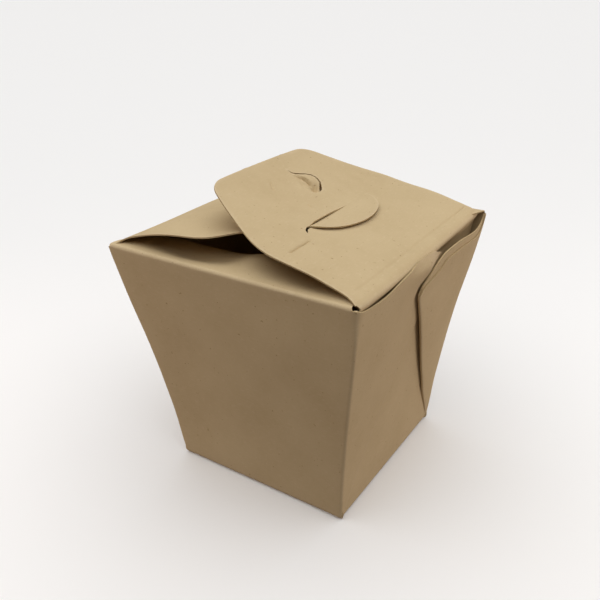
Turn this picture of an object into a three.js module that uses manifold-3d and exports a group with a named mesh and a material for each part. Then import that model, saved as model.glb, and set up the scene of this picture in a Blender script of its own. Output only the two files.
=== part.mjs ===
// Noodle takeaway box: one sheet of brown kraft board, folded into a tapered square pail
// and shut by a tongue pushed up through a slit. Millimetres, +Z up, origin at the middle
// of the base. The plain front wall faces -Y. The +X wall carries the main flap.
import * as THREE from "three";
import { mergeVertices } from "three/addons/utils/BufferGeometryUtils.js";
import Module from "manifold-3d";

const wasm = await Module();
wasm.setup();

// Driving dimensions of the pail.
const BOARD = 0.5;
const BASE = 76;
const TOP = 102;
const HEIGHT = 96;

// A side wall has two layers of corner web folded against it, so it sits further in than
// the front and back walls by their depth.
const WEB_DEPTH = 2 * BOARD;

// What follows: how far a wall leans out, its length up the slope, its thickness measured
// level, the rim of the front wall, and the middle of the board at the side wall's rim.
const LEAN = (TOP - BASE) / 2;
const SLANT = Math.hypot(HEIGHT, LEAN);
const WALL = (BOARD * SLANT) / HEIGHT;
const RIM = TOP / 2;
const HINGE = RIM - WEB_DEPTH - BOARD / 2;

// Pieces that are folded from the same sheet run this far into each other, so they fuse.
const BITE = 0.2;

// Top flaps, in plan. Both are as wide at the shoulders, and the main one is the longer.
const HINGE_HALF = 49.4;
const SHOULDER_HALF = 47;
const SHOULDER_IN = 9;
const MAIN_END = -21;
const MAIN_END_HALF = 25;
const MAIN_CHAMFER_FROM = 12;
const MAIN_CHAMFER_TO = -15;
const MAIN_CHAMFER_HALF = 31;
const UNDER_CHAMFER_FROM = -12;
const UNDER_CHAMFER_TO = 9;
const UNDER_CHAMFER_HALF = 35;

// The slit across the main flap, and the tongue of the under flap that comes up through it.
const SLIT_X = 14.5;
const SLIT_HALF = 20;
const SLIT_WIDTH = 0.9;
const TONGUE_TIP = 26.5;

// The round thumb cut in the main flap. Its disc hinges on the -Y side and is pushed down.
const THUMB = { x: -4, y: 2.5, height: 15.3, radius: 7.5, gap: 0.6, hinge: -2.5, tilt: 8 };

// Side view of each flap: distance along X or in from the wall, and height above the rim.
const MAIN_PROFILE = [
  [HINGE, -BITE],
  [44.5, 2.5],
  [32, 5.9],
  [20, 7.9],
  [9, 10.8],
  [-2, 14.6],
  [-12, 18.8],
  [MAIN_END - 1, 23],
];
const UNDER_PROFILE = [
  [-HINGE, -BITE],
  [-46, 2.7],
  [-32, 6.1],
  [-18, 8.2],
  [-4, 10],
  [3, 10.9],
  [SLIT_X - 5, 9.6],
  [SLIT_X - 1.2, 8.9],
  [SLIT_X + 2.2, 9.7],
  [TONGUE_TIP + 1, 8.4],
];
const DUST_PROFILE = [
  [BOARD / 2, -BITE],
  [1.6, 0.3],
  [5, 0],
  [10, -2.2],
  [16, -6.5],
  [21.5, -12],
];
const DUST_HALF = 48.6;
const DUST_END_HALF = 41;

// A side wall's corner webs, folded double against its outside. Each one hinges on a
// slanting side edge and ends at a fold that rises from the bottom corner, and it springs
// off the wall by its tilt. Points run round its free edges, from the top of the side edge
// to the top of the fold: distance across the wall from its middle, positive away from the
// hinge, and length up the slope. The covering web crosses over the covered one.
const COVERED_WEB = {
  tilt: 2.2,
  free: [
    [-RIM, 96.3],
    [-16, 96],
    [-8, 97.4],
    [3.5, 97.4],
    [13.5, 91],
  ],
};
const COVERING_WEB = {
  tilt: 2.6,
  free: [
    [-50.3, 91.3],
    [-30, 93.5],
    [-12, 94],
    [8.5, 82],
  ],
};

// ---- Helpers -----------------------------------------------------------------

// A closed three.js geometry as a manifold solid.
function solid(geometry) {
  const bare = geometry.clone();
  bare.deleteAttribute("normal");
  bare.deleteAttribute("uv");
  const merged = mergeVertices(bare, 1e-4);
  const mesh = new wasm.Mesh({
    numProp: 3,
    vertProperties: new Float32Array(merged.attributes.position.array),
    triVerts: new Uint32Array(merged.index.array),
  });
  return new wasm.Manifold(mesh);
}

// A manifold solid as a three.js geometry with flat normals.
function geometryOf(body) {
  const mesh = body.getMesh();
  const geometry = new THREE.BufferGeometry();
  const positions = new THREE.BufferAttribute(new Float32Array(mesh.vertProperties), 3);
  geometry.setAttribute("position", positions);
  geometry.setIndex(new THREE.BufferAttribute(new Uint32Array(mesh.triVerts), 1));
  geometry.computeVertexNormals();
  return geometry;
}

// A straight prism over an outline, along +Z from 0.
function prism(shape, depth, curveSegments = 8) {
  return new THREE.ExtrudeGeometry(shape, { depth, bevelEnabled: false, curveSegments });
}

// A tapered block between two heights of the pail, shrunk by an inset all round. Its side
// walls stand further in by the depth of the webs.
function taper(low, high, inset) {
  const half = (z) => BASE / 2 + (LEAN * z) / HEIGHT - inset;
  const block = new THREE.CylinderGeometry(
    half(high) * Math.SQRT2, half(low) * Math.SQRT2, high - low, 4);
  block.rotateY(Math.PI / 4);
  block.rotateX(Math.PI / 2);
  block.translate(0, 0, (low + high) / 2);
  const corners = block.attributes.position;
  for (let i = 0; i < corners.count; i += 1) {
    const x = corners.getX(i);
    const shift = Math.abs(x) > WEB_DEPTH ? Math.sign(x) * WEB_DEPTH : 0;
    corners.setX(i, x - shift);
  }
  return solid(block);
}

// The section of a bent sheet of board: a smooth line through points, made as thick as
// the board.
function ribbonSection(points, steps) {
  const line = new THREE.SplineCurve(points.map(([a, h]) => new THREE.Vector2(a, h)));
  const upper = [];
  const lower = [];
  for (let i = 0; i <= steps; i += 1) {
    const at = line.getPointAt(i / steps);
    const along = line.getTangentAt(i / steps);
    const out = new THREE.Vector2(-along.y, along.x).multiplyScalar(BOARD / 2);
    upper.push(at.clone().add(out));
    lower.unshift(at.clone().sub(out));
  }
  return new THREE.Shape([...upper, ...lower]);
}

// A flap: a bent sheet that runs across the pail along Y, cut to its outline in plan.
function bentFlap(profile, outline, steps = 22) {
  const sheet = prism(ribbonSection(profile, steps), TOP);
  sheet.rotateX(Math.PI / 2);
  sheet.translate(0, TOP / 2, HEIGHT);
  const cutter = prism(outline, HEIGHT);
  cutter.translate(0, 0, HEIGHT / 2);
  return solid(sheet).intersect(solid(cutter));
}

// An outline that is the same on both sides of the X axis, from its +Y half.
function mirroredOutline(half) {
  const other = half.map(([x, y]) => [x, -y]).reverse();
  return new THREE.Shape([...half, ...other].map(([x, y]) => new THREE.Vector2(x, y)));
}

// Points along a bend from one place to another, drawn towards a corner.
function rounded(from, corner, to, steps = 5) {
  const bend = new THREE.QuadraticBezierCurve(
    new THREE.Vector2(...from), new THREE.Vector2(...corner), new THREE.Vector2(...to));
  return bend.getPoints(steps).map((p) => [p.x, p.y]);
}

// ---- The pieces of the folded sheet ------------------------------------------

// Base and four walls.
function tray() {
  return taper(0, HEIGHT, 0).subtract(taper(BOARD, HEIGHT + 1, WALL));
}

// The main flap's outline: shoulders, long chamfers and a straight end with round corners.
function mainOutline() {
  return mirroredOutline([
    [RIM + 1, HINGE_HALF],
    [RIM - 2, HINGE_HALF - 0.8],
    ...rounded([RIM - 4, 48], [RIM - SHOULDER_IN, SHOULDER_HALF], [RIM - 18, SHOULDER_HALF]),
    ...rounded([MAIN_CHAMFER_FROM + 6, 46.4], [MAIN_CHAMFER_FROM, 46], [8, 43.8]),
    ...rounded(
      [MAIN_CHAMFER_TO + 3, MAIN_CHAMFER_HALF + 1.7],
      [MAIN_END, MAIN_CHAMFER_HALF - 3],
      [MAIN_END, MAIN_END_HALF - 3]),
  ]);
}

// The slit that the tongue comes through, right through the flap.
function slit() {
  const cut = new THREE.BoxGeometry(SLIT_WIDTH, 2 * SLIT_HALF, HEIGHT);
  cut.translate(SLIT_X, 0, HEIGHT);
  return solid(cut);
}

// A round prism through the main flap, kept on the free side of the thumb cut's hinge.
function thumbPlug(radius, hinge) {
  const plug = new THREE.CylinderGeometry(radius, radius, HEIGHT, 24);
  plug.rotateX(Math.PI / 2);
  plug.translate(THUMB.x, THUMB.y, HEIGHT);
  return solid(plug).trimByPlane([0, 1, 0], hinge);
}

// The main flap with its slit, and the disc of the thumb cut pushed down about its hinge.
function mainFlap() {
  const flap = bentFlap(MAIN_PROFILE, mainOutline());
  const disc = flap.intersect(thumbPlug(THUMB.radius - THUMB.gap, THUMB.hinge - 1));
  const lowered = disc
    .translate([0, -THUMB.hinge, -HEIGHT - THUMB.height])
    .rotate([-THUMB.tilt, 0, 0])
    .translate([0, THUMB.hinge, HEIGHT + THUMB.height]);
  const hole = thumbPlug(THUMB.radius, THUMB.hinge);
  return flap.subtract(hole).subtract(slit()).add(lowered);
}

// The under flap's outline: like the main flap's, and ending in a tongue with a round tip.
function underOutline() {
  return mirroredOutline([
    [TONGUE_TIP, 0.5],
    ...rounded([TONGUE_TIP - 0.8, 4.5], [23, 12.5], [SLIT_X + 0.5, SLIT_HALF - 0.4]),
    [SLIT_X - 1.5, SLIT_HALF - 0.4],
    [SLIT_X - 3, SLIT_HALF + 4],
    ...rounded([UNDER_CHAMFER_TO, 30], [UNDER_CHAMFER_TO, UNDER_CHAMFER_HALF], [3, 38]),
    ...rounded([-8, 43.8], [UNDER_CHAMFER_FROM, 46], [UNDER_CHAMFER_FROM - 6, 46.4]),
    ...rounded([18 - RIM, SHOULDER_HALF], [SHOULDER_IN - RIM, SHOULDER_HALF], [4 - RIM, 48]),
    [2 - RIM, HINGE_HALF - 0.8],
    [-RIM - 1, HINGE_HALF],
  ]);
}

// The under flap, up through the slit.
function underFlap() {
  return bentFlap(UNDER_PROFILE, underOutline());
}

// A dust flap, curving down into the pail from the front rim.
function dustFlap() {
  const profile = DUST_PROFILE.map(([inward, height]) => [inward - RIM, height]);
  const reach = DUST_PROFILE.at(-1)[0] + 1;
  const outline = mirroredOutline([
    [reach - RIM, DUST_END_HALF - 6],
    [reach - RIM - 3, DUST_END_HALF],
    [4 - RIM, DUST_HALF - 1],
    [-RIM - 1, DUST_HALF],
  ]);
  return bentFlap(profile, outline, 12).rotate([0, 0, 90]);
}

// One doubled web on the +X wall, turned off the wall by its tilt about the side edge.
// The side is -1 for the corner towards -Y and 1 for the one towards +Y.
function web({ tilt, free }, side) {
  const foot = BASE / 2;
  const corners = [[-foot, BOARD], ...free].map(([y, s]) => new THREE.Vector2(-side * y, s));
  const plate = prism(new THREE.Shape(corners), WEB_DEPTH);
  const hinge = new THREE.Vector3(side * LEAN, SLANT, 0).normalize();
  const swing = side * THREE.MathUtils.degToRad(tilt);
  plate.translate(-side * foot, 0, 0);
  plate.applyMatrix4(new THREE.Matrix4().makeRotationAxis(hinge, swing));
  plate.translate(side * foot, 0, 0);
  const across = new THREE.Vector3(0, 1, 0);
  const up = new THREE.Vector3(LEAN, 0, HEIGHT).normalize();
  const out = new THREE.Vector3().crossVectors(across, up);
  plate.applyMatrix4(new THREE.Matrix4().makeBasis(across, up, out));
  plate.translate(foot - WEB_DEPTH - BITE, 0, 0);
  return solid(plate);
}

// Both webs of the +X wall.
function sideWebs() {
  return web(COVERED_WEB, -1).add(web(COVERING_WEB, 1));
}

// The whole folded sheet, fused where its pieces meet.
function carton() {
  const pieces = [
    tray(),
    mainFlap(),
    underFlap(),
    dustFlap(),
    dustFlap().rotate([0, 0, 180]),
    sideWebs(),
    sideWebs().rotate([0, 0, 180]),
  ];
  return wasm.Manifold.union(pieces);
}

const kraft = new THREE.MeshStandardMaterial({
  color: 0xb89c74,
  roughness: 0.85,
  metalness: 0,
});

const box = new THREE.Group();
const mesh = new THREE.Mesh(geometryOf(carton()), kraft);
mesh.name = "carton";
box.add(mesh);

export default box;
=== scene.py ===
# %% [markdown]
# # A noodle takeaway box
#
# The real box is one sheet of brown kraft board: cut flat, scored, folded and shut by
# pushing a tongue through a slit. This lesson makes it in the same order. Each part of
# the sheet is cut out as a flat outline, filled with small triangles, carried to its
# folded place by plain geometry, and only then given the thickness of board. Working
# this way keeps edges crisp, lets layers lie on each other as they do on the real box,
# and gives every piece its flat coordinates, which the material uses for its fibres.

import math

import bpy
import numpy as np
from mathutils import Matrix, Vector
from mathutils.geometry import delaunay_2d_cdt
from mathutils.kdtree import KDTree


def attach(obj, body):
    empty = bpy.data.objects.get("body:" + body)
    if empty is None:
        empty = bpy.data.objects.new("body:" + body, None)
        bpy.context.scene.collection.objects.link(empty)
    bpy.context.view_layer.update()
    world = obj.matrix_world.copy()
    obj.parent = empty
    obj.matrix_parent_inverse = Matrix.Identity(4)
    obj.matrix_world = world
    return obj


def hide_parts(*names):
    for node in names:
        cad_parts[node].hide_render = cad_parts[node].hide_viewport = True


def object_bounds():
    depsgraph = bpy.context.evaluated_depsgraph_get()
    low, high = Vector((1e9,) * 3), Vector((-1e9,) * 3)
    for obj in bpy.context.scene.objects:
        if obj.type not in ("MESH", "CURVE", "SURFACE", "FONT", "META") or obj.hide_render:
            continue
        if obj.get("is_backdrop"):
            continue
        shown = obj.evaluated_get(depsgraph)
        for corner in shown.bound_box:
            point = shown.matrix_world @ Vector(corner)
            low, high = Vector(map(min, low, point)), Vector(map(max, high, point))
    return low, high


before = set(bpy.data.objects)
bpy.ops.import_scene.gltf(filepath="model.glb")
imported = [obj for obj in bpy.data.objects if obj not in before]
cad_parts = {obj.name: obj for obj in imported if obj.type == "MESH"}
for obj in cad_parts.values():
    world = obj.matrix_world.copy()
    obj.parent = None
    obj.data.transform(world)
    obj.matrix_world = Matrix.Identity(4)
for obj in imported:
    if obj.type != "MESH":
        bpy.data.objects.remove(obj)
cad_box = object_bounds()
print("CAD nodes:", sorted(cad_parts))

# %% [markdown]
# ## The driving dimensions
#
# All lengths are in millimetres until a mesh is written, because a box maker thinks in
# millimetres. A wall leans out by `LEAN` over its height. Heights up the slope of a wall
# are called `rise`, and the rim is at `rise = SLANT`. Every surface below is the middle of
# the board, so it lies half a board, `SKIN`, inside the outer skin.

# %% Dimensions of the box
MM = 0.001
BOARD = 0.5
BASE = 76.0
TOP = 102.0
HEIGHT = 96.0
LEAN = (TOP - BASE) / 2
SLANT = math.hypot(HEIGHT, LEAN)
SKIN = BOARD / 2 * SLANT / HEIGHT
FOOT = BASE / 2 - SKIN
WALL_TURN = math.degrees(math.atan2(HEIGHT, LEAN))
WEB_DEPTH = 2 * BOARD
CARD_STEP = 1.4
EDGE_STEP = 0.5
print(f"a wall is {SLANT:.2f} mm up its slope and stands at {WALL_TURN:.2f} degrees")

# %% [markdown]
# ## Cutting a card
#
# A die cuts the sheet along smooth lines. `eased` rounds the corners of a rough outline by
# cutting each one twice (Chaikin's method), and `walked` puts points along a line at even
# steps. `cut_card` then fills an outline with a grid of points, adds the points of the
# score lines, and joins them by a constrained Delaunay triangulation. A grid would be
# simpler, but it can't follow a curved cut. Triangles can, and still bend smoothly.


# %% Lines and outlines
def smooth(t):
    """0 before 0, 1 after 1, with an even ease between."""
    t = np.clip(t, 0, 1)
    return t * t * (3 - 2 * t)


def eased(points, passes=2, closed=True):
    """A line with its corners cut twice over, as many times as asked."""
    line = np.array(points, float)
    for _ in range(passes):
        following = np.roll(line, -1, axis=0) if closed else line[1:]
        leading = line if closed else line[:-1]
        pair = np.stack([0.75 * leading + 0.25 * following, 0.25 * leading + 0.75 * following], 1)
        cut = pair.reshape(-1, 2)
        line = cut if closed else np.vstack([line[:1], cut, line[-1:]])
    return line


def walked(points, step, closed=True):
    """The same line with points no further apart than step."""
    line = np.array(points, float)
    ends = np.vstack([line, line[:1]]) if closed else line
    runs = []
    for start, stop in zip(ends[:-1], ends[1:]):
        count = max(1, math.ceil(math.dist(start, stop) / step))
        runs.append(start + (stop - start) * np.arange(count)[:, None] / count)
    if not closed:
        runs.append(ends[-1:])
    return np.vstack(runs)


def inside(points, loop):
    """Which points are inside a closed loop, by counting the edges to the right of each."""
    x, y = points[:, 0:1], points[:, 1:2]
    x0, y0 = loop[:, 0], loop[:, 1]
    x1, y1 = np.roll(x0, -1), np.roll(y0, -1)
    spans = (y0 > y) != (y1 > y)
    fall = np.where(y1 == y0, 1, y1 - y0)
    return (spans & (x < x0 + (y - y0) / fall * (x1 - x0))).sum(1) % 2 == 1


def clear_of(points, others, gap):
    """Which points are at least gap away from every one of the others."""
    tree = KDTree(len(others))
    for index, (x, y) in enumerate(others):
        tree.insert((x, y, 0), index)
    tree.balance()
    return np.array([tree.find((x, y, 0))[2] >= gap for x, y in points], bool)


# %% The card cutter
def hexagons(low, high, step):
    """Points in rows like a honeycomb over a rectangle."""
    rows = np.arange(low[1], high[1], step * math.sqrt(0.75))
    dots = [
        (x + (index % 2) * step / 2, y)
        for index, y in enumerate(rows)
        for x in np.arange(low[0], high[0], step)
    ]
    return np.array(dots).reshape(-1, 2)


def cut_card(outline, step, holes=(), scores=(), fine=()):
    """Flat points and triangles of a card. A fine patch is (centre, radius, step)."""
    loops = [walked(outline, step)] + [walked(hole, step / 2) for hole in holes]
    rows = []
    for line, gap in scores:
        row = walked(line, gap, closed=False)
        good = inside(row, loops[0]) & clear_of(row, np.vstack(loops), 0.3)
        for hole in loops[1:]:
            good &= ~inside(row, hole)
        rows.append((row, good))
    fixed = np.vstack(loops + [row[good] for row, good in rows])
    filling = hexagons(outline.min(0), outline.max(0), step)
    for centre, radius, finer in fine:
        centre = np.array(centre)
        filling = filling[np.hypot(*(filling - centre).T) > radius]
        patch = hexagons(centre - radius, centre + radius, finer)
        patch = patch[np.hypot(*(patch - centre).T) <= radius]
        patch = patch[clear_of(patch, fixed, 0.6 * finer)]
        filling = np.vstack([filling, patch])
    near_patch = np.zeros(len(filling), bool)
    for centre, radius, finer in fine:
        near_patch |= np.hypot(*(filling - np.array(centre)).T) <= radius
    filling = filling[near_patch | clear_of(filling, fixed, 0.55 * step)]
    filling = filling[inside(filling, loops[0])]
    for hole in loops[1:]:
        filling = filling[~inside(filling, hole)]
    points, edges = [], []
    for loop in loops:
        first = len(points)
        points.extend(loop)
        edges.extend((first + i, first + (i + 1) % len(loop)) for i in range(len(loop)))
    for row, good in rows:
        for i, (place, kept) in enumerate(zip(row, good)):
            if kept:
                if i and good[i - 1]:
                    edges.append((len(points) - 1, len(points)))
                points.append(place)
    points.extend(filling)
    made = delaunay_2d_cdt([Vector(p) for p in points], edges, [], 0, 1e-5)
    flat = np.array([tuple(v) for v in made[0]])
    triangles = np.array(made[2])
    middles = flat[triangles].mean(1)
    kept = inside(middles, loops[0])
    for hole in loops[1:]:
        kept &= ~inside(middles, hole)
    return flat, triangles[kept]


# %% [markdown]
# ## Bending a card
#
# Seen from the side, a bent card is one line. It is easiest to describe by the way it
# heads: so many degrees at such a distance from the rim. A score line is a quick change of
# heading, and the slow curve of a sprung flap is a slow one. Adding up small steps along
# the headings gives the line itself, and its length is right by itself.


# %% A bent strip from its headings
BEND_STEP = 0.05


class BentLine:
    """The side view of a bent card: x outward and z up, by distance past the rim."""

    def __init__(self, headings, rim_out):
        self.along = np.arange(headings[0][0], headings[-1][0] + BEND_STEP, BEND_STEP)
        turn = np.radians(np.interp(self.along, *np.array(headings, float).T))
        self.turn = turn
        steps = np.stack([np.cos(turn), np.sin(turn)], 1) * BEND_STEP
        line = np.cumsum(steps, 0)
        # It stands on the wall's own plane, halfway up the wall.
        half = np.searchsorted(self.along, -SLANT / 2)
        place = np.array([(rim_out + FOOT) / 2, HEIGHT / 2])
        self.line = line - line[half] + place

    def at(self, along, lift=0.0):
        """Places out and up at these distances, lifted off the line's outer side."""
        out = np.interp(along, self.along, self.line[:, 0])
        up = np.interp(along, self.along, self.line[:, 1])
        turn = np.interp(along, self.along, self.turn)
        return out + lift * np.sin(turn), up - lift * np.cos(turn)

    def distance(self, out):
        """How far past the rim the flap is at this distance out from the middle."""
        flap = self.along > 0.8
        return np.interp(-np.asarray(out), -self.line[flap, 0], self.along[flap])


def waviness(flat, seed, size=34.0, height=0.12):
    """Slow unevenness of real board: a few long waves in seeded directions."""
    luck = np.random.default_rng(seed)
    lift = np.zeros(len(flat))
    for wave in range(7):
        angle, phase = luck.uniform(0, math.tau, 2)
        length = size * luck.uniform(0.5, 1.8)
        ahead = flat @ np.array([math.cos(angle), math.sin(angle)])
        lift += np.sin(ahead * math.tau / length + phase) * length / size
    return lift * height / 4


def dent(flat, centre, radii, depth, angle=0.0):
    """A soft round hollow, or a swelling where depth is below nothing."""
    turn = math.radians(angle)
    off = flat - np.array(centre)
    u = (off[:, 0] * math.cos(turn) + off[:, 1] * math.sin(turn)) / radii[0]
    v = (-off[:, 0] * math.sin(turn) + off[:, 1] * math.cos(turn)) / radii[1]
    return -depth * np.exp(-(u * u + v * v))


# %% The pail's own unevenness
PINCH = 0.75
ON_FLOOR = BOARD / 2 + 0.02
SPREAD_LEFT, SPREAD_NEAR, SPREAD_FAR = 1.5, 0.3, 1.6


def drawn_in(places):
    """The walls draw in a little below their middle."""
    x, y, z = places.T
    drawn = PINCH * smooth(z / 26) * (1 - smooth((z - 38) / 40)) / (BASE / 2 + LEAN * z / HEIGHT)
    return np.stack([x * (1 - drawn), y * (1 - drawn), np.maximum(z, ON_FLOOR)], 1)


def spread_corners(places):
    """Near the rim the webs pull the corners of the end walls outwards, each its own way."""
    x, y, z = places.T
    share = smooth((z - 54) / 38) * smooth((np.abs(y) - 24) / 22) * smooth((np.abs(x) - 20) / 24)
    reach = np.where(x < 0, SPREAD_LEFT, np.where(y < 0, SPREAD_NEAR, SPREAD_FAR))
    return np.stack([x + np.sign(x) * reach * share, y, z], 1)


# %% [markdown]
# ## Kraft board
#
# Kraft board is unbleached pulp: a warm brown with cloudy patches a few millimetres to a
# few centimetres wide, short fibres that lie every way, and a few dark specks. Its surface
# is matt with a faint fibre relief. Where it is folded or rubbed the surface breaks and
# turns paler, and a cut edge shows the rough, layered inside, a little darker. The colours
# come from noise at several scales, which needs no image and stays sharp close up. A
# value that each mesh carries lightens its folds and edges, and on the end sheets it also
# paints a highlight on the top of each covered web, where the board bends in to the light.


# %% The finishes
KRAFT = (0.62, 0.485, 0.283)
KRAFT_DARK = (0.53, 0.4, 0.22)
KRAFT_SPECK = (0.26, 0.13, 0.05)
# Pale kraft: for pale fibres, worn folds and edges, and a painted highlight.
KRAFT_PALE_AND_HIGHLIGHT = (0.72, 0.58, 0.38)
KRAFT_CUT = (0.44, 0.33, 0.18)


def shader(name):
    """A new material, its node tree and its surface shader."""
    finish = bpy.data.materials.new(name)
    finish.use_nodes = True
    return finish, finish.node_tree, finish.node_tree.nodes["Principled BSDF"]


def node(tree, kind, **settings):
    """A node with its settings. Names with a capital are its input sockets."""
    made = tree.nodes.new(kind)
    for key, value in settings.items():
        if key[0].isupper():
            made.inputs[key.replace("_", " ")].default_value = value
        else:
            setattr(made, key, value)
    return made


def noise(tree, where, scale, detail=2.0, roughness=0.5, stretch=None, turn=0.0):
    """Noise from 0 to 1 over the object's own millimetres, or stretched along one way."""
    source = where
    if stretch:
        bent = node(tree, "ShaderNodeMapping")
        bent.inputs["Scale"].default_value = stretch
        bent.inputs["Rotation"].default_value = (0, 0, math.radians(turn))
        tree.links.new(source, bent.inputs["Vector"])
        source = bent.outputs["Vector"]
    made = node(tree, "ShaderNodeTexNoise", Scale=scale, Detail=detail, Roughness=roughness)
    tree.links.new(source, made.inputs["Vector"])
    return made.outputs["Fac"]


def ranged(tree, value, low, high, start=0.0, stop=1.0):
    """A value between low and high brought to between start and stop."""
    made = node(tree, "ShaderNodeMapRange", From_Min=low, From_Max=high, To_Min=start, To_Max=stop)
    tree.links.new(value, made.inputs["Value"])
    return made.outputs["Result"]


def blended(tree, share, first, second, how="MIX"):
    """Two colours mixed by a share. Either colour may be a socket or a plain colour."""
    made = node(tree, "ShaderNodeMix", data_type="RGBA", blend_type=how)
    for index, value in ((0, share), (6, first), (7, second)):
        socket = made.inputs[index]
        if isinstance(value, bpy.types.NodeSocket):
            tree.links.new(value, socket)
        elif isinstance(value, tuple):
            socket.default_value = (*value, 1)
        else:
            socket.default_value = value
    return made.outputs[2]


def kraft_face():
    """The plain face of the board: clouds, fibres, specks, rubbed places and a painted highlight."""
    finish, tree, surface = shader("kraft_face")
    places = node(tree, "ShaderNodeTexCoord")
    clouds = noise(tree, places.outputs["Object"], 42, 4, 0.55)
    patches = noise(tree, places.outputs["Object"], 260, 3, 0.6)
    grain = noise(tree, places.outputs["Object"], 1500, 2, 0.6)
    specks = noise(tree, places.outputs["Object"], 820, 1, 0.5)
    flat = places.outputs["UV"]
    fibres = noise(tree, flat, 900, 2, 0.5, stretch=(0.5, 1.5, 1), turn=12)
    strands = noise(tree, flat, 900, 2, 0.5, stretch=(1.4, 0.55, 1), turn=-25)
    colour = blended(tree, ranged(tree, clouds, 0.3, 0.7, 0.1, 0.75), KRAFT, KRAFT_DARK)
    colour = blended(tree, ranged(tree, patches, 0.35, 0.7, 0.0, 0.4), colour, KRAFT)
    colour = blended(tree, ranged(tree, fibres, 0.56, 0.74, 0.0, 0.22), colour, KRAFT_PALE_AND_HIGHLIGHT)
    colour = blended(tree, ranged(tree, strands, 0.58, 0.76, 0.0, 0.3), colour, KRAFT_DARK)
    colour = blended(tree, ranged(tree, specks, 0.735, 0.79, 0.0, 0.55), colour, KRAFT_SPECK)
    # This per-point value pales the board along worn folds and cut edges, and paints a highlight on the top
    # of each covered web.
    wear_and_highlight_layer = node(tree, "ShaderNodeAttribute", attribute_name="wear_and_highlight")
    lightening = node(tree, "ShaderNodeMath", operation="MULTIPLY")
    tree.links.new(wear_and_highlight_layer.outputs["Fac"], lightening.inputs[0])
    tree.links.new(ranged(tree, grain, 0.3, 0.65, 0.35, 1.0), lightening.inputs[1])
    colour = blended(tree, lightening.outputs[0], colour, KRAFT_PALE_AND_HIGHLIGHT)
    tree.links.new(colour, surface.inputs["Base Color"])
    tree.links.new(ranged(tree, patches, 0.3, 0.7, 0.8, 0.92), surface.inputs["Roughness"])
    surface.inputs["Specular IOR Level"].default_value = 0.25
    relief = node(tree, "ShaderNodeMath", operation="MULTIPLY_ADD")
    relief.inputs[1].default_value = 0.6
    tree.links.new(fibres, relief.inputs[0])
    tree.links.new(grain, relief.inputs[2])
    bump = node(tree, "ShaderNodeBump", Strength=0.25, Distance=0.00012)
    tree.links.new(relief.outputs[0], bump.inputs["Height"])
    tree.links.new(bump.outputs["Normal"], surface.inputs["Normal"])
    return finish


def kraft_edge():
    """The cut edge: rough, a little darker, with the plies of the board along it."""
    finish, tree, surface = shader("kraft_edge")
    places = node(tree, "ShaderNodeTexCoord")
    plies = noise(tree, places.outputs["Object"], 2400, 2, 0.6)
    colour = blended(tree, ranged(tree, plies, 0.3, 0.7), KRAFT_CUT, KRAFT_DARK)
    tree.links.new(colour, surface.inputs["Base Color"])
    surface.inputs["Roughness"].default_value = 0.95
    surface.inputs["Specular IOR Level"].default_value = 0.1
    bump = node(tree, "ShaderNodeBump", Strength=0.4, Distance=0.0001)
    tree.links.new(plies, bump.inputs["Height"])
    tree.links.new(bump.outputs["Normal"], surface.inputs["Normal"])
    return finish


BOARD_FINISHES = [kraft_face(), kraft_edge()]
print("finishes:", [finish.name for finish in BOARD_FINISHES])


# %% [markdown]
# ## From folded card to board
#
# The folded card is still a surface without thickness. Solidify gives it the board's
# half millimetre on both sides and gives the cut edges a finish of their own. The
# modifier is applied at once, so that the sharp cut edges can be marked by their angle
# while the folds stay smooth.


# %% The board maker
SHARP_ANGLE = 55


def make_board(name, flat, triangles, places, wear_and_highlight):
    """A piece of board from its flat points and their folded places in millimetres."""
    mesh = bpy.data.meshes.new(name)
    mesh.from_pydata((drawn_in(places) * MM).tolist(), [], triangles.tolist())
    layer = mesh.uv_layers.new(name="flat")
    corner = np.empty(len(mesh.loops), np.int32)
    mesh.loops.foreach_get("vertex_index", corner)
    layer.data.foreach_set("uv", (flat[corner] * MM).astype(np.float32).ravel())
    # The per-point value carries wear on folds and edges, and on the end sheets a painted highlight.
    wear_and_highlight_layer = mesh.attributes.new("wear_and_highlight", "FLOAT", "POINT")
    wear_and_highlight_layer.data.foreach_set("value", wear_and_highlight.astype(np.float32))
    for finish in BOARD_FINISHES:
        mesh.materials.append(finish)
    mesh.polygons.foreach_set("use_smooth", [True] * len(mesh.polygons))
    piece = bpy.data.objects.new(name, mesh)
    bpy.context.scene.collection.objects.link(piece)
    thick = piece.modifiers.new("board", "SOLIDIFY")
    thick.thickness = BOARD * MM
    thick.offset = 0
    thick.use_even_offset = False
    thick.material_offset_rim = 1
    shown = piece.evaluated_get(bpy.context.evaluated_depsgraph_get())
    piece.data = bpy.data.meshes.new_from_object(shown)
    piece.data.name = name
    piece.modifiers.clear()
    piece.data.set_sharp_from_angle(angle=math.radians(SHARP_ANGLE))
    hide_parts("carton")
    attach(piece, "root")
    print(f"{name}: {len(piece.data.polygons)} faces")


def edge_wear(flat, outline, reach=0.7, amount=0.5):
    """Rubbing along a cut edge, strongest at the edge itself."""
    tree = KDTree(len(outline))
    for index, (x, y) in enumerate(outline):
        tree.insert((x, y, 0), index)
    tree.balance()
    away = np.array([tree.find((x, y, 0))[2] for x, y in flat])
    return amount * (1 - smooth(away / reach))


def line_wear(distance, reach, amount):
    """Rubbing along a fold, from each point's distance to it."""
    return amount * (1 - smooth(np.abs(distance) / reach))


# %% [markdown]
# ## The base, the right wall and the main flap
#
# These three are one strip of the sheet, so they are one card here: flat across the
# bottom, up the wall that leans out, and over the rim into the main flap. The flap springs
# up along its length, so its heading swings down to the slit and up again beyond it. The
# wall stands further in than the front and back walls, because two layers of web lie
# against it. It also bows in a little below the rim, where the webs push it.

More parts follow.
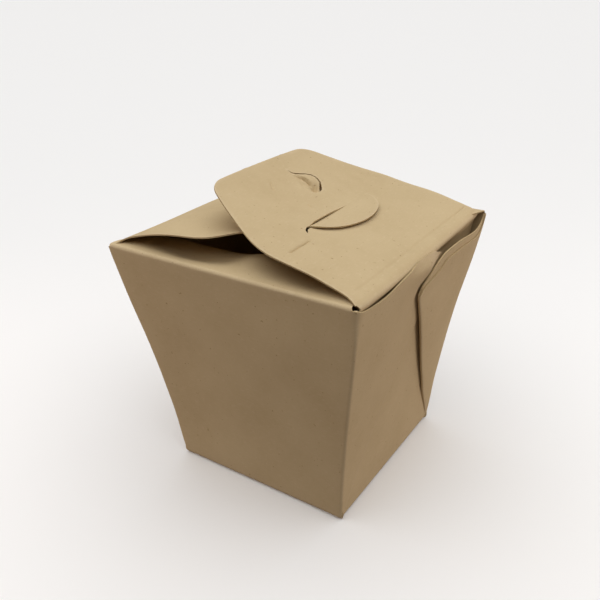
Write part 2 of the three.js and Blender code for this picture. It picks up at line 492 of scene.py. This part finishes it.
# %% The strip's side view
SIDE_RIM = TOP / 2 - SKIN - 0.8 * WEB_DEPTH
SIDE_TURN = math.degrees(math.atan2(HEIGHT, SIDE_RIM - FOOT))
BASE_FOLD = -SLANT + 0.58
MAIN_HEADINGS = [
    (BASE_FOLD - BASE - 4, 0),
    (BASE_FOLD - 1.5, 0),
    (BASE_FOLD + 1.5, SIDE_TURN),
    (-3.1, SIDE_TURN),
    (-2.1, 100),
    (2.8, 160),
    (5.9, 160.5),
    (6.7, 162),
    (12.0, 163),
    (15.5, 166),
    (20.0, 169),
    (26.0, 170.5),
    (32.0, 169.5),
    (38.0, 165.5),
    (44.0, 162),
    (52.0, 160),
    (60.0, 157.5),
    (66.0, 156.5),
    (71.0, 153),
    (80.0, 152),
]
main_line = BentLine(MAIN_HEADINGS, SIDE_RIM)
for out in (45, 30, 14.5, 0, -10, -20):
    up = main_line.at(main_line.distance(out))[1]
    print(f"the main flap is {up - HEIGHT:.1f} mm over the rim at x {out}")

# %% Outlines on the main flap, in plan
MAIN_NEAR = [
    (50.2, -49.0),
    (49.0, -49.6),
    (46.5, -48.9),
    (44.0, -47.9),
    (33.0, -47.4),
    (24.0, -47.0),
    (17.0, -46.7),
    (12.0, -45.7),
    (7.3, -44.0),
    (3.6, -42.2),
    (-3.8, -38.4),
    (-12.6, -33.7),
    (-16.9, -31.2),
    (-19.2, -27.5),
    (-20.0, -22.0),
]
MAIN_FAR = [
    (-20.0, 22.5),
    (-18.9, 27.5),
    (-16.3, 31.0),
    (-12.0, 33.4),
    (-2.5, 38.5),
    (4.0, 41.8),
    (8.5, 44.1),
    (13.0, 45.2),
    (22.0, 45.4),
    (33.0, 46.1),
    (42.0, 46.4),
    (46.5, 47.2),
    (48.7, 47.0),
]
SLIT_X = 15.1
SLIT_CUT = [
    (15.5, 20.6),
    (15.4, -20.4),
    (15.6, -22.4),
    (17.2, -24.9),
    (15.3, -23.5),
    (14.4, -21.4),
    (14.9, -19.6),
    (14.9, 20.6),
]
THUMB_CUT = [
    (-12.6, 7.1),
    (-10.8, 7.3),
    (-9.7, 8.4),
    (-8.7, 10.0),
    (-7.7, 12.0),
    (-6.1, 13.75),
    (-4.4, 14.2),
    (-2.6, 13.6),
    (-0.9, 12.4),
    (0.5, 10.8),
    (1.7, 9.3),
    (2.5, 7.9),
    (2.8, 6.6),
    (2.3, 7.8),
    (1.4, 9.1),
    (0.2, 10.5),
    (-1.1, 12.0),
    (-2.8, 12.95),
    (-4.4, 13.5),
    (-5.8, 13.1),
    (-7.2, 11.6),
    (-8.2, 9.6),
    (-9.3, 7.7),
    (-10.7, 6.8),
]


def on_strip(plan, line):
    """Points given in plan, as distance across the strip and distance past the rim."""
    plan = np.array(plan, float)
    return np.stack([plan[:, 1], line.distance(plan[:, 0])], 1)


# %% Cut the strip
def wall_half(rise, inset=0.35):
    """Half the width of a wall's middle at a height up its slope."""
    return FOOT + LEAN * rise / SLANT - inset


BASE_BEND = 1.9
base_half = FOOT - BASE_BEND
base_near = BASE_FOLD - 1.5
base_far = base_near - 2 * base_half + 0.05
base_part = [
    (-base_half, base_near),
    (-base_half, base_far),
    (base_half, base_far),
    (base_half, base_near),
]
FAR_NOTCH = [(48.7, -16), (47.6, -10), (47.5, -6), (47.9, -3.4), (48.2, -0.8)]
flap_loop = on_strip(MAIN_NEAR + MAIN_FAR, main_line)
main_rim = np.vstack([
    [(wall_half(0.0), BASE_FOLD), (wall_half(SLANT - 24), -24)],
    FAR_NOTCH,
    eased(flap_loop[::-1], 2, closed=False),
    [(-48.3, -0.6), (-wall_half(SLANT - 4), -4), (-wall_half(0.0), BASE_FOLD)],
    base_part,
])
THUMB_MIDDLE = (-4.45, 4.4)
CREASES = [
    ((20.3, -39.7), (20.3, -28.8), 0.75),
    ((44.6, -43.0), (44.6, 46.0), 0.4),
    ((-9.9, -7.6), (-6.9, -10.2), 0.45),
    ((6.1, -7.1), (7.6, -7.8), 0.45),
]
slit = on_strip(SLIT_CUT, main_line)
thumb = on_strip(THUMB_CUT, main_line)
rim_rows = [([(-51, t), (51, t)], 1.2) for t in np.arange(-3.2, 3.1, 0.5)]
BASE_ROWS = (-1.2, -0.8, -0.4, 0.0, 0.4, 0.8, 1.2, 1.5)
rim_rows += [([(-38, BASE_FOLD + t), (38, BASE_FOLD + t)], 1.2) for t in BASE_ROWS]
main_rows = list(rim_rows)
for (x, low), (_, high), _ in CREASES[:2]:
    for aside in (-0.9, -0.45, 0, 0.45, 0.9):
        main_rows.append((on_strip([(x + aside, low - 1), (x + aside, high + 1)], main_line), 0.9))
fine_places = on_strip([THUMB_MIDDLE, (-8.4, -8.9), (6.9, -7.5)], main_line)
fine = [(place, radius, 0.45) for place, radius in zip(fine_places, (8.5, 3.0, 2.0))]
flat, triangles = cut_card(main_rim, CARD_STEP, [slit, thumb], main_rows, fine)
print(f"the strip is cut: {len(flat)} points")

# %% [markdown]
# ### Small shapes on the main flap
#
# Lifts are given in plan and fade out round about. The edge of the slit on the flap's
# end side rides over the tongue, and the other edge is pressed down under it. A thumb has
# pushed down the board inside the half-round cut. That leaves a soft step along the cut, a
# shallow dish in the middle, and a small deep pit beside the cut's far end.

# %% Lift and fold the strip
def off_base(past):
    """0 on the base and 1 a little way up the wall, so that the base stays flat."""
    return smooth((past - BASE_FOLD - 1) / 14)


THUMB_CREASE = [(-20, 5.9), (22, 5.65), (48, 4.85), (79, 5.0), (108, 5.2), (124, 4.85), (160, 4.7)]
THUMB_STEP = [(-20, 0), (20, 1.4), (48, 2.2), (80, 2.1), (110, 1.4), (140, 0.7), (165, 0)]
THUMB_EDGE = [(0, 7.3), (15, 7.6), (27, 7.9), (40, 8.0), (52, 8.2), (68, 8.7), (80, 9.1), (90, 9.4)]


def thumb_press(plan):
    """How deep the thumb pushed the tab: a step at its crease, and a pit beside the cut."""
    x, y = (plan - THUMB_MIDDLE).T
    away = np.hypot(x, y)
    angle = np.degrees(np.arctan2(y, x))
    crease, step, edge = (np.interp(angle, *np.array(row, float).T) for row in (
        THUMB_CREASE, THUMB_STEP, THUMB_EDGE))
    inward = crease - away
    press = step * np.where(inward > 0, np.exp(-inward / 3.5), 1 - smooth(-inward / 0.5))
    pit = -dent(plan, (0.0, 8.0), (2.9, 2.1), 3.6, -54) * smooth((edge - away) / 0.6)
    dish = 0.8 * np.exp(-(((x + 0.5) / 7) ** 2) - (((y + 2.5) / 5.5) ** 2))
    return np.maximum(press, pit) + dish


CREASE_WIDTH = 0.45


def groove(plan, start, stop, depth):
    """A pressed line from start to stop, as deep as given at its middle."""
    run = np.array(stop) - np.array(start)
    share = np.clip((plan - start) @ run / (run @ run), 0, 1)
    away = np.hypot(*(plan - start - share[:, None] * run).T)
    return depth * np.exp(-((away / CREASE_WIDTH) ** 2))


WALL_BOW = 1.6


def main_lift(flat):
    """How far the main flap and its wall stand off their plain bent shape."""
    across, past = flat.T
    plan = np.stack([main_line.at(past)[0], across], 1)
    lift = waviness(flat, 3) * off_base(past)
    x, y = plan.T
    flap = past > 2
    slit_span = smooth((22 - np.abs(y)) / 5)
    sprung_up = 0.5 + 0.9 * smooth((6 - y) / 16)
    ahead = x - SLIT_X
    lift += np.where(flap & (ahead < 0), sprung_up * np.exp(-np.abs(ahead) / 4.5), 0) * slit_span
    lift -= np.where(flap & (ahead >= 0), 0.55 * np.exp(-np.abs(ahead) / 3), 0) * slit_span
    lift -= np.where(flap, thumb_press(plan), 0)
    for start, stop, depth in CREASES:
        lift -= np.where(flap, groove(plan, start, stop, depth), 0)
    bow = smooth((past + 30) / 22) * smooth(-past / 2.6)
    bow *= np.where(y < 0, smooth((51.5 + y) / 6), smooth((50.5 - y) / 2.5))
    return lift - WALL_BOW * bow


def folded_strip(flat, line, lift):
    """Places of a strip across +X, from distance across and distance past the rim."""
    out, up = line.at(flat[:, 1], lift)
    return np.stack([out, flat[:, 0], up], 1)


HINGE_ACROSS = [-50, -47, -44, -32, -5, 10, 31, 50]
HINGE_REACH = [0.6, 1.25, 1.65, 2.0, 1.75, 1.45, 1.1, 0.4]


def hinge_out(flat):
    """How far the webs' pull has drawn the main flap's hinge outwards."""
    across, past = flat.T
    reach = np.interp(across, HINGE_ACROSS, HINGE_REACH)
    return reach * smooth((past + 5) / 4) * smooth((12 - past) / 10)


places = folded_strip(flat, main_line, main_lift(flat))
places[:, 0] += hinge_out(flat)
cut_edges = np.vstack([walked(main_rim, EDGE_STEP), walked(thumb, EDGE_STEP)])
wear_and_highlight = np.maximum(edge_wear(flat, cut_edges), line_wear(flat[:, 1], 1.3, 0.35))
make_board("base_wall_and_main_flap", flat, triangles, places, wear_and_highlight)

# %% [markdown]
# ## The left wall and the under flap
#
# The opposite strip stops at the bottom edge of its wall. Its flap springs up from the
# rim, passes under the main flap, dips to the slit, and comes up through it as a tongue
# with a round tip. It is made facing the other way, like a copy of the first strip, and
# then turned half round.

# %% The under flap's side view and outline
UNDER_HEADINGS = [
    (BASE_FOLD - 2.0, 0),
    (BASE_FOLD - 1.5, 0),
    (BASE_FOLD + 1.5, SIDE_TURN),
    (-1.6, SIDE_TURN),
    (-0.5, 110),
    (0.9, 138),
    (3.0, 150),
    (7.0, 163),
    (13.0, 165.5),
    (19.0, 169.5),
    (27.0, 173.5),
    (34.0, 176),
    (41.0, 172),
    (46.0, 166),
    (50.0, 169),
    (53.0, 181),
    (57.0, 197),
    (61.5, 195),
    (64.0, 168),
    (67.0, 174),
    (70.0, 187),
    (78.0, 188),
    (84.0, 188),
]
under_line = BentLine(UNDER_HEADINGS, SIDE_RIM)
for out in (45, 30, 15, 0, -10, -14.6, -20, -26):
    up = under_line.at(under_line.distance(out))[1]
    print(f"the under flap is {up - HEIGHT:.1f} mm over the rim at x {-out}")

UNDER_SIDE = [
    (49.7, 49.4),
    (47.9, 48.5),
    (44.0, 47.4),
    (33.0, 47.2),
    (20.0, 46.8),
    (12.0, 46.0),
    (7.0, 43.6),
    (-3.0, 38.4),
    (-9.0, 34.5),
    (-11.8, 30.0),
    (-12.6, 24.0),
    (-13.0, 20.4),
    (-15.2, 20.5),
    (-18.6, 18.9),
    (-21.5, 16.4),
    (-23.7, 13.4),
    (-25.5, 9.2),
    (-26.6, 4.4),
    (-26.9, 0.0),
]
under_half = UNDER_SIDE + [(x, -y) for x, y in UNDER_SIDE[-2::-1]]
under_loop = on_strip(under_half, under_line)
under_rim = np.vstack([
    [(-base_half, base_near), (base_half, base_near)],
    [(wall_half(0.0), BASE_FOLD), (wall_half(SLANT - 1.5), -1.5), (50.0, -0.6)],
    eased(under_loop, 1, closed=False),
    [(-50.0, -0.6), (-wall_half(SLANT - 1.5), -1.5), (-wall_half(0.0), BASE_FOLD)],
])
tongue_middle = on_strip([(-18.0, 0.0)], under_line)[0]
flat, triangles = cut_card(under_rim, CARD_STEP, [], rim_rows, [(tongue_middle, 22.0, 0.9)])


def under_lift(flat):
    """How far the under flap stands off its plain bent shape."""
    lift = waviness(flat, 11) * off_base(flat[:, 1])
    plan = np.stack([under_line.at(flat[:, 1])[0], flat[:, 0]], 1)
    lift += np.where(flat[:, 1] > 2, dent(plan, (9, 30), (9, 12), 0.8), 0)
    return lift


places = folded_strip(flat, under_line, under_lift(flat)) * np.array([-1, -1, 1])
wear_and_highlight = np.maximum(
    edge_wear(flat, walked(under_rim, EDGE_STEP)), line_wear(flat[:, 1], 1.3, 0.35))
make_board("left_wall_and_under_flap", flat, triangles, places, wear_and_highlight)

# %% [markdown]
# ## The front and back walls, with their webs and dust flaps
#
# Each of these walls carries a dust flap above and a web on each side. A web is a
# triangle of board that is folded back on itself, so that the corner of the pail holds
# water. The doubled web turns round the corner and lies against the outside of the side
# wall. Its fold rises from the bottom corner, halfway between the wall's edge and the
# other wall's edge in the flat sheet, so its angle follows from the pail's own lean.

# %% Angles of a web
EDGE_LEAN = math.atan2(LEAN, SLANT)
WEB_HALF = (math.pi / 2 - 2 * EDGE_LEAN) / 2 - math.radians(1.2)
CORNER_RADIUS = 0.8
FOLD_RADIUS = 0.3
corner_foot = np.array([FOOT, -FOOT, BOARD / 2])
corner_way = np.array([LEAN, -LEAN, HEIGHT]) / math.hypot(LEAN, LEAN, HEIGHT)
front_out = np.array([0, -HEIGHT, -LEAN]) / SLANT
side_out = np.array([HEIGHT, 0, -LEAN]) / SLANT
front_across = np.cross(front_out, corner_way)
front_across *= np.sign(front_across[0])
CORNER_TURN = math.acos(front_out @ side_out)
print(f"a web folds {math.degrees(WEB_HALF):.2f} degrees from the wall's edge")

# %% Shapes of the two webs
# Points are (distance across the side wall from its middle, height up its slope), with
# the web's own corner on the minus side.
COVERED = {
    "outer": [
        (-50.9, 96.0),
        (-49.5, 95.6),
        (-46.0, 94.8),
        (-42.0, 94.3),
        (-38.5, 94.2),
        (-35.0, 94.4),
        (-30.0, 94.7),
        (-25.5, 95.4),
        (-20.5, 96.0),
        (-15.5, 96.5),
        (-10.5, 97.2),
        (-6.0, 97.2),
        (-1.5, 96.9),
        (3.2, 96.4),
        (5.5, 95.2),
        (8.0, 94.2),
        (10.5, 93.4),
        (11.5, 92.2),
    ],
    "tip": 90.6,
    "inner": [
        (9.0, 90.5),
        (4.0, 91.6),
        (0.0, 92.4),
        (-20.0, 92.8),
        (-35.0, 92.4),
        (-42.0, 93.4),
        (-50.3, 95.0),
    ],
}
COVERING = {
    "outer": [
        (-50.9, 96.0),
        (-50.2, 95.2),
        (-49.3, 93.3),
        (-48.2, 91.2),
        (-46.0, 89.5),
        (-41.9, 89.1),
        (-33.8, 89.5),
        (-25.4, 89.8),
        (-17.7, 90.3),
        (-12.0, 90.4),
        (-9.0, 88.6),
        (-4.8, 87.6),
        (1.4, 86.6),
        (6.0, 85.5),
    ],
    "tip": 82.8,
    "inner": [
        (5.6, 86.4),
        (1.0, 88.8),
        (-4.0, 91.8),
        (-10.2, 93.6),
        (-15.5, 93.6),
        (-23.6, 93.2),
        (-32.2, 92.4),
        (-40.3, 91.9),
        (-46.0, 92.6),
        (-48.4, 94.0),
        (-49.6, 95.6),
        (-50.4, 96.2),
    ],
}
LOWER_BY = 3.0


def lowered(edge, beyond):
    """The same free edge cut lower, except near the corner of the pail."""
    return [(across, rise - LOWER_BY * float(across > beyond)) for across, rise in edge]


LOW_COVERED = {
    "outer": lowered(COVERED["outer"], -48),
    "tip": COVERED["tip"],
    "inner": lowered(COVERED["inner"], -45),
}


def flat_of_web(points, inner=False):
    """Points on the side wall as points of the flat sheet, on either layer of the web."""
    off = np.array(points, float) - np.array([-FOOT, 0])
    turn = np.arctan2(off[:, 0], off[:, 1]) + EDGE_LEAN
    if inner:
        turn = 2 * WEB_HALF - turn
    reach = np.hypot(*off.T)
    turn += EDGE_LEAN
    return np.stack([FOOT + reach * np.sin(turn), reach * np.cos(turn)], 1)


def web_outline(web):
    """Free edges of a web in the flat sheet, from the rim's corner to the bottom corner."""
    tip_across = -FOOT + web["tip"] * math.tan(WEB_HALF - EDGE_LEAN)
    outer = flat_of_web(web["outer"] + [(tip_across, web["tip"])])
    inner = flat_of_web(web["inner"], inner=True)
    foot_end = flat_of_web([(-FOOT + 0.1, 1.5)], inner=True)
    return np.vstack([eased(outer, 1, closed=False), eased(inner, 1, closed=False), foot_end])


# %% How far the webs spring off the wall
BULGE_ACROSS = [-46, -40, -34, -18, -11, -5, -1, 3, 8, 17]
BULGE = [0, 0.25, 0.8, 1.1, 1.7, 2.2, 1.9, 1.0, 0.3, 0.2]


def covered_lift(across, rise):
    """The web that lies under: it bulges towards its crease, and leans in above it."""
    crease = np.interp(across, [-47, -40, -32, -15, 10], [95.3, 94.9, 94.4, 93.8, 93.5])
    at_crease = np.interp(across, BULGE_ACROSS, BULGE)
    at_top = np.interp(across, [-46, -38, -18, -10, 4, 9], [0, 0.4, 0.7, -0.3, -0.4, -0.2])
    start = np.interp(across, [-30, -6], [45, 84])
    below = at_crease * smooth((rise - start) / (crease - start))
    above = at_crease + (at_top - at_crease) * (rise - crease) / 4
    return np.where(rise < crease, below, above)


def covering_lift(across, rise):
    """The web that lies over: it stands off most at its fold and towards its top."""
    turn = np.arctan2(across + FOOT, rise) + EDGE_LEAN
    share = np.clip(turn / WEB_HALF, 0, 1)
    at_fold = np.interp(rise, [0, 10, 30, 60, 82, 90, 97], [0, 0.6, 1.3, 1.75, 1.9, 2.4, 2.4])
    return at_fold * (1 - (1 - share) ** 4)


# %% Carry the sheet round a corner
def round_corner(along, across, off, rim_radius):
    """Places near the +X -Y corner, by distance up it, round it, and off the surface."""
    radius = np.minimum(CORNER_RADIUS, 0.3 * np.maximum(along, 0.1))
    radius = radius + (rim_radius - CORNER_RADIUS) * smooth((along - 84) / 11)
    run = radius * math.tan(CORNER_TURN / 2)
    share = np.clip((across + run) / (2 * run), 0, 1)
    turn = share[:, None] * CORNER_TURN
    edge = corner_foot + along[:, None] * corner_way
    outward = front_out * np.cos(turn) + front_across * np.sin(turn)
    centre = edge - run[:, None] * front_across - radius[:, None] * front_out
    bend = centre + radius[:, None] * outward
    onward = front_across * math.cos(CORNER_TURN) - front_out * math.sin(CORNER_TURN)
    before = np.minimum(across + run, 0)[:, None] * front_across
    after = np.maximum(across - run, 0)[:, None] * onward
    return bend + before + after + off[:, None] * outward


def folded_side(flat, lift_of, rim_radius):
    """Places of one side of an end sheet: its wall, and its web folded double."""
    off = flat - np.array([FOOT, 0])
    reach = np.hypot(*off.T)
    turn = np.arctan2(off[:, 0], off[:, 1]) - EDGE_LEAN
    from_fold = reach * np.sin(WEB_HALF - turn)
    up_fold = reach * np.cos(WEB_HALF - turn)
    radius = np.minimum(FOLD_RADIUS, 0.15 * up_fold + 0.02)
    swing = np.clip(from_fold / radius, -1, 1) * math.pi / 2
    tight = np.abs(from_fold) < radius
    back = np.where(tight, radius * (1 - np.cos(swing)), np.abs(from_fold))
    depth = radius * (1 - np.sin(swing))
    web = turn > 0
    web_along = up_fold * math.cos(WEB_HALF) + back * math.sin(WEB_HALF)
    web_across = up_fold * math.sin(WEB_HALF) - back * math.cos(WEB_HALF)
    along = np.where(web, web_along, reach * np.cos(turn))
    across = np.where(web, web_across, reach * np.sin(turn))
    side_across = -FOOT + across * math.cos(EDGE_LEAN) - along * math.sin(EDGE_LEAN)
    rise = along * math.cos(EDGE_LEAN) + across * math.sin(EDGE_LEAN)
    lift = np.where(web, lift_of(side_across, rise) - depth, 0)
    return round_corner(along, across, lift, rim_radius)


# %% [markdown]
# ### The dust flap
#
# The dust flap bends over the rim with a soft fold, lies almost level under the main flaps
# and curves down into the box at its end. It has been pushed about from above, so a short
# ridge stands between two hollows. The hollows are lifts on the flat sheet, given before
# it is folded, so that they follow its curve.

# %% The end sheet's side view and outline
END_RIM = TOP / 2 - SKIN
END_HEADINGS = [
    (BASE_FOLD - 2.0, 0),
    (BASE_FOLD - 1.5, 0),
    (BASE_FOLD + 1.5, WALL_TURN),
    (-0.7, WALL_TURN),
    (0.8, 172),
    (4.0, 179),
    (10.0, 183),
    (14.0, 187),
    (20.0, 199),
    (24.0, 204),
]
end_line = BentLine(END_HEADINGS, END_RIM)
DUST_REACH = 21.0
DUST_SHORT = [
    (48.6, SLANT - 0.6),
    (47.9, SLANT + 0.6),
    (47.2, SLANT + 5),
    (44.5, SLANT + 12),
    (41.0, SLANT + DUST_REACH - 3),
    (37.5, SLANT + DUST_REACH),
]
DUST_LONG = [
    (49.9, SLANT - 0.3),
    (50.0, SLANT + 1.0),
    (49.0, SLANT + 5),
    (45.5, SLANT + 12),
    (41.0, SLANT + DUST_REACH - 3),
    (37.5, SLANT + DUST_REACH),
]


def end_outline(covered):
    """The whole flat end sheet: the covered web on its right, the covering one left."""
    right = web_outline(covered)[::-1]
    left = web_outline(COVERING) * np.array([-1, 1])
    right_top = [(50.3, SLANT - 0.5), (49.2, SLANT - 0.7)]
    left_top = [(-49.9, SLANT - 0.6), (-50.6, SLANT - 1.5)]
    bottom = [(-base_half - 0.6, SLANT + base_near), (base_half + 0.6, SLANT + base_near)]
    dust = eased(DUST_SHORT, 1, closed=False)
    dust_left = eased(DUST_LONG, 1, closed=False)[::-1] * np.array([-1, 1])
    return np.vstack([bottom, right, right_top, dust, dust_left, left_top, left])


rows = [([(-51, SLANT + t), (51, SLANT + t)], 1.2) for t in np.arange(-1.1, 1.5, 0.3)]
rows += [([(-38, SLANT + BASE_FOLD + t), (38, SLANT + BASE_FOLD + t)], 1.2) for t in BASE_ROWS]
for side in (1, -1):
    for turned, reach, offsets in (
        (EDGE_LEAN, 97.5, np.linspace(-0.8, 0.8, 5)),
        (EDGE_LEAN + WEB_HALF, 106, np.linspace(-0.3, 0.3, 5)),
    ):
        way = np.array([math.sin(turned), math.cos(turned)])
        aside = np.array([math.cos(turned), -math.sin(turned)])
        for offset in offsets:
            ends = [np.array([FOOT, 0]) + way * s + aside * offset for s in (2.0, reach)]
            rows.append(([tuple(end * np.array([side, 1])) for end in ends], 1.3))
front_rim = end_outline(COVERED)
back_rim = end_outline(LOW_COVERED)
front_flat, front_triangles = cut_card(front_rim, CARD_STEP, [], rows)
back_flat, back_triangles = cut_card(back_rim, CARD_STEP, [], rows)
print(f"the front sheet is cut: {len(front_flat)} points")


# %% Fold an end sheet
def folded_end(flat, seed, pushed):
    """Places of an end sheet that faces -Y."""
    across, rise = flat.T
    mirror = np.array([-1, 1])
    right = folded_side(flat, covered_lift, 2.2)
    left = folded_side(flat * mirror, covering_lift, 0.5) * np.array([-1, 1, 1])
    past = rise - SLANT
    dust = past > 1.0
    wave = waviness(flat, seed) * smooth((FOOT + LEAN * rise / SLANT - np.abs(across)) / 12)
    wave *= off_base(past)
    lift = wave + np.where(dust, pushed(flat), 0)
    out, up = end_line.at(past, lift)
    middle = np.stack([across, -out, up], 1)
    side = FOOT + LEAN * rise / SLANT
    near_edge = smooth((np.abs(across) - side + 5) / 2.5) * (past < -0.7)
    near_edge *= smooth((rise + 0.1) / 1.5)
    corner = np.where(across[:, None] > 0, right, left)
    return middle * (1 - near_edge[:, None]) + corner * near_edge[:, None]


def front_pushed(flat):
    """The front dust flap's hollows and the ridge between them."""
    lift = dent(flat, (-21, SLANT + 11.5), (19, 7), 3.2)
    lift += dent(flat, (29, SLANT + 13), (17, 8), 2.4)
    return lift + dent(flat, (4, SLANT + 16), (7, 9), -2.2)


def back_pushed(flat):
    """The back dust flap, pushed down once in its middle."""
    return dent(flat, (3, SLANT + 12), (26, 9), 2.0)


def end_wear_and_highlight(flat, rim):
    """Rubbing on an end sheet's folds, corners and cut edges, and a painted highlight on the top of the
    covered web.
    """
    across, rise = flat.T
    off = np.stack([np.abs(across) - FOOT, rise], 1)
    reach = np.hypot(*off.T)
    turn = np.arctan2(off[:, 0], off[:, 1]) - EDGE_LEAN
    folds = [line_wear(rise - SLANT, 1.8, 0.4), line_wear(reach * np.sin(turn), 1.0, 0.3)]
    folds.append(line_wear(reach * np.sin(WEB_HALF - turn), 0.6, 0.35))
    # Painted highlight: a pale patch on the top of the covered web, where it bends in and catches the light.
    lug_away = np.hypot(*(flat - flat_of_web([(4.0, 95.0)])[0]).T)
    lightening = 0.7 * np.exp(-((lug_away / 6) ** 2))
    return np.maximum.reduce(folds + [lightening, edge_wear(flat, walked(rim, EDGE_STEP), 0.7, 0.3)])


front = folded_end(front_flat, 5, front_pushed)
make_board(
    "front_wall_webs_and_dust_flap",
    front_flat,
    front_triangles,
    spread_corners(front),
    end_wear_and_highlight(front_flat, front_rim))
back = folded_end(back_flat, 8, back_pushed) * np.array([-1, -1, 1])
make_board(
    "back_wall_webs_and_dust_flap",
    back_flat,
    back_triangles,
    spread_corners(back),
    end_wear_and_highlight(back_flat, back_rim))

# %% [markdown]
# ## Floor, light and camera
#
# A matt brown box needs very little: a pale floor, and one very wide soft light straight
# above it, so that the lid is bright and its edges cast broad soft shadows. Two small low
# cards of warm light, one at each side, give the walls their shape: the left one makes
# the front wall fade from left to right. A dim sky above and a warmer one below fill what
# is left. The floor is kept out of the bounced light, so that it doesn't pale the walls.

# %% Floor
floor_mesh = bpy.data.meshes.new("floor")
FLOOR_HALF = 9.0
FLOOR_DROP = 0.0003
floor_signs = ((-1, -1), (1, -1), (1, 1), (-1, 1))
floor_corners = [(x * FLOOR_HALF, y * FLOOR_HALF, 0) for x, y in floor_signs]
floor_mesh.from_pydata(floor_corners, [], [(0, 1, 2, 3)])
floor = bpy.data.objects.new("floor", floor_mesh)
floor.location.z = -FLOOR_DROP
floor.visible_diffuse = False
floor.visible_shadow = False
bpy.context.scene.collection.objects.link(floor)
floor_finish, _, floor_surface = shader("pale_floor")
floor_surface.inputs["Base Color"].default_value = (0.93, 0.93, 0.92, 1)
floor_surface.inputs["Roughness"].default_value = 0.95
floor_surface.inputs["Specular IOR Level"].default_value = 0.1
floor_mesh.materials.append(floor_finish)
floor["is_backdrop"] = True

# %% Light
KEY_STRENGTH = 2.83
KEY_WIDTH = 105
KEY_TOWARDS = Vector((-0.05, 0.04, -1.0))
key = bpy.data.lights.new("key", "SUN")
key.energy = KEY_STRENGTH
key.angle = math.radians(KEY_WIDTH)
key_lamp = bpy.data.objects.new("key", key)
key_lamp.rotation_euler = KEY_TOWARDS.to_track_quat("-Z", "Y").to_euler()
bpy.context.scene.collection.objects.link(key_lamp)


CARD_SIZE = 0.25
CARD_AIM = Vector((0, 0, 0.05))


def side_card(name, place, power, colour):
    """A low card of light beside the box, turned to its middle."""
    card = bpy.data.lights.new(name, "AREA")
    card.size = CARD_SIZE
    card.energy = power
    card.color = colour
    lamp = bpy.data.objects.new(name, card)
    lamp.location = place
    lamp.rotation_euler = (CARD_AIM - lamp.location).to_track_quat("-Z", "Y").to_euler()
    bpy.context.scene.collection.objects.link(lamp)


side_card("left_card", Vector((-0.24, -0.21, 0.05)), 0.195, (1.0, 0.785, 0.69))
side_card("right_card", Vector((0.40, 0.16, 0.05)), 0.46, (1.0, 0.85, 0.78))
SKY_ABOVE = (0.06, 0.05, 0.05)
SKY_BELOW = (0.14, 0.11, 0.095)
world = bpy.data.worlds.new("studio")
world.use_nodes = True
sky = world.node_tree
heights = node(sky, "ShaderNodeSeparateXYZ")
sky.links.new(node(sky, "ShaderNodeTexCoord").outputs["Generated"], heights.inputs[0])
shade = blended(sky, ranged(sky, heights.outputs["Z"], -0.1, 0.25), SKY_BELOW, SKY_ABOVE)
sky.links.new(shade, sky.nodes["Background"].inputs["Color"])
bpy.context.scene.world = world
bpy.context.scene.view_settings.view_transform = "Standard"

# %% Camera
LENS = 40.97
SENSOR = 36
CAMERA_PLACE = (0.133962, -0.203475, 0.185436)
CAMERA_TURN = (1.11292912, 0.02286332, 0.58255439)
camera_data = bpy.data.cameras.new("camera")
camera_data.sensor_width = SENSOR
camera_data.lens = LENS
camera_data.clip_end = 50
camera = bpy.data.objects.new("camera", camera_data)
camera.location = CAMERA_PLACE
camera.rotation_euler = CAMERA_TURN
bpy.context.scene.collection.objects.link(camera)
bpy.context.scene.camera = camera

# %% Sizes and finish
sizes = {"cad": [list(corner) for corner in cad_box], "visual": [list(corner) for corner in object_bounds()]}
for name, (low, high) in sizes.items():
    print(name, [round(v * 1000, 2) for v in low], [round(v * 1000, 2) for v in high])
